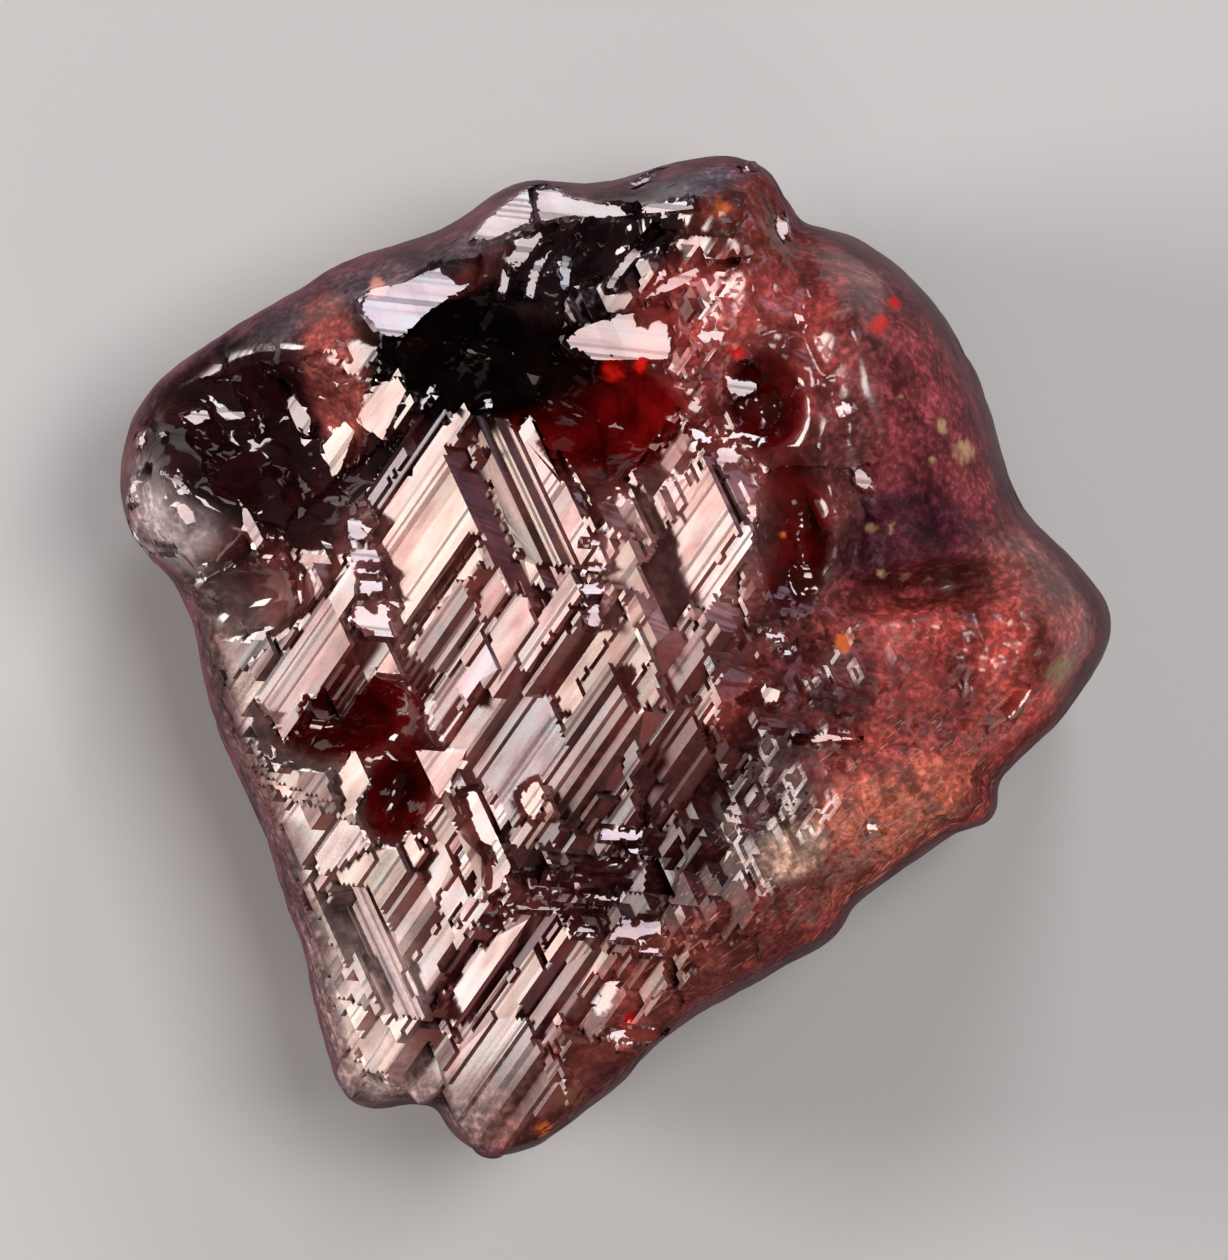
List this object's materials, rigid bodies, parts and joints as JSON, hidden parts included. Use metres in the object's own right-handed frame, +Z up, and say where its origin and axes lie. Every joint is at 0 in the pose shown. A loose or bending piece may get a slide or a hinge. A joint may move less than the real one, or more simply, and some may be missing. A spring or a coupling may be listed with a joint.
{
  "type": "spessartine garnet crystal",
  "caption": "Loose clear brownish red garnet crystal, etched into fine steps and glassy hollows, lying on its flat contact face.",
  "frame": {"origin": "a point of the flat contact face, under the middle of the crystal", "axes": "+Z up along the crystal's three-fold axis, away from the contact face; +X towards the corner at the picture's right, +Y towards the picture's top"},
  "size_m": [0.0199, 0.02, 0.0119],
  "materials": {
    "garnet": "glassy, part etched"
  },
  "bodies": {
    "root": {"garnet_crystal": "garnet"}
  },
  "joints": []
}
